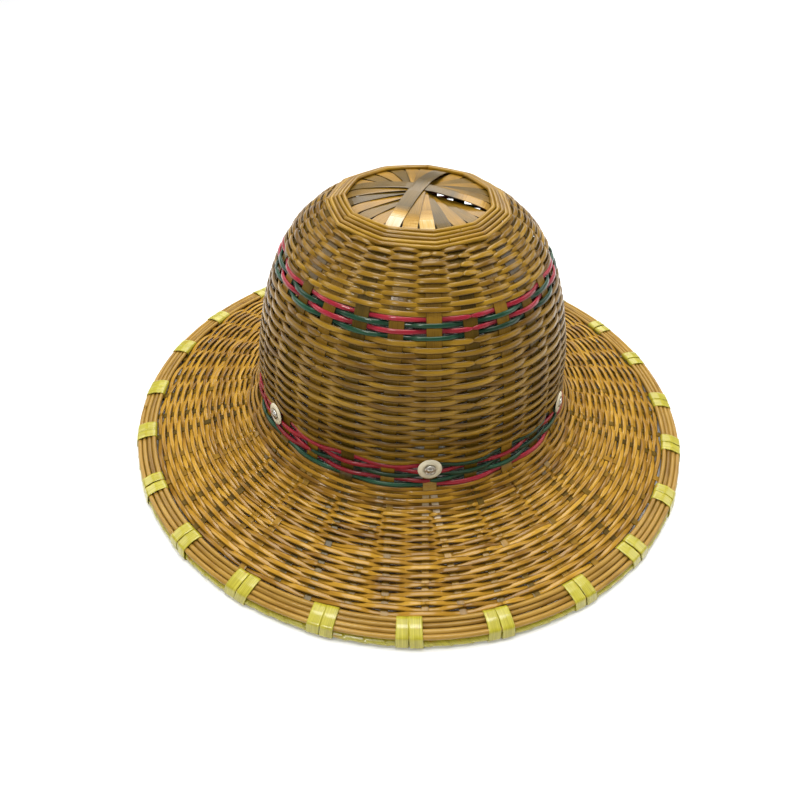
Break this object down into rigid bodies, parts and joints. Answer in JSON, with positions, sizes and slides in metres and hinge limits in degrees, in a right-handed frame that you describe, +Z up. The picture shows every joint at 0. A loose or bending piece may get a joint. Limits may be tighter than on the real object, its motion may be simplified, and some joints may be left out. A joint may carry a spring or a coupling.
{
  "type": "woven bamboo sun hat",
  "caption": "Domed, wide-brimmed hat woven from split bamboo, with a strip star on the crown, coloured bands, a strap-bound rim and a riveted inner liner.",
  "frame": {"origin": "on the surface that the hat stands on, under the middle of the crown", "axes": "+Z up through the crown, -Y towards the front, +X to the wearer's left"},
  "size_m": [0.3774, 0.3774, 0.1641],
  "materials": {
    "bamboo_strip": "varnished split bamboo strip",
    "bamboo_strand": "varnished golden bamboo strand",
    "bamboo_rod": "varnished tan bamboo rod",
    "red_strand": "dyed crimson bamboo strand",
    "green_strand": "dyed dark green bamboo strand",
    "yellow_strip": "glossy lemon yellow strip",
    "cream_plastic": "cream moulded plastic",
    "rivet_metal": "bright aluminium rivet",
    "liner_plastic": "off-white moulded plastic",
    "liner_webbing": "woven pale webbing"
  },
  "bodies": {
    "root": {"rib_01": "bamboo_strip", "rib_02": "bamboo_strip", "rib_03": "bamboo_strip", "rib_04": "bamboo_strip", "rib_05": "bamboo_strip", "rib_06": "bamboo_strip", "rib_07": "bamboo_strip", "rib_08": "bamboo_strip", "rib_09": "bamboo_strip", "rib_10": "bamboo_strip", "rib_11": "bamboo_strip", "rib_12": "bamboo_strip", "rib_13": "bamboo_strip", "top_collar": "bamboo_strand", "crown_upper_weft": "bamboo_strand", "crown_lower_weft": "bamboo_strand", "brim_inner_weft": "bamboo_strand", "brim_outer_weft": "bamboo_strand", "upper_band_red": "red_strand", "lower_band_red": "red_strand", "upper_band_green": "green_strand", "lower_band_green": "green_strand", "rim_rod_1": "bamboo_rod", "rim_rod_2": "bamboo_rod", "rim_rod_3": "bamboo_rod", "rim_rod_4": "bamboo_rod", "rim_under_rod": "bamboo_rod", "rim_hoop_core": "bamboo_rod", "rim_hoop_wrap": "yellow_strip", "rim_bindings": "yellow_strip", "outer_washers": "cream_plastic", "inner_washers": "cream_plastic", "rivets": "rivet_metal", "liner_ring": "liner_plastic", "cradle_strap_1": "liner_webbing", "cradle_strap_2": "liner_webbing", "cradle_strap_3": "liner_webbing"}
  },
  "joints": []
}
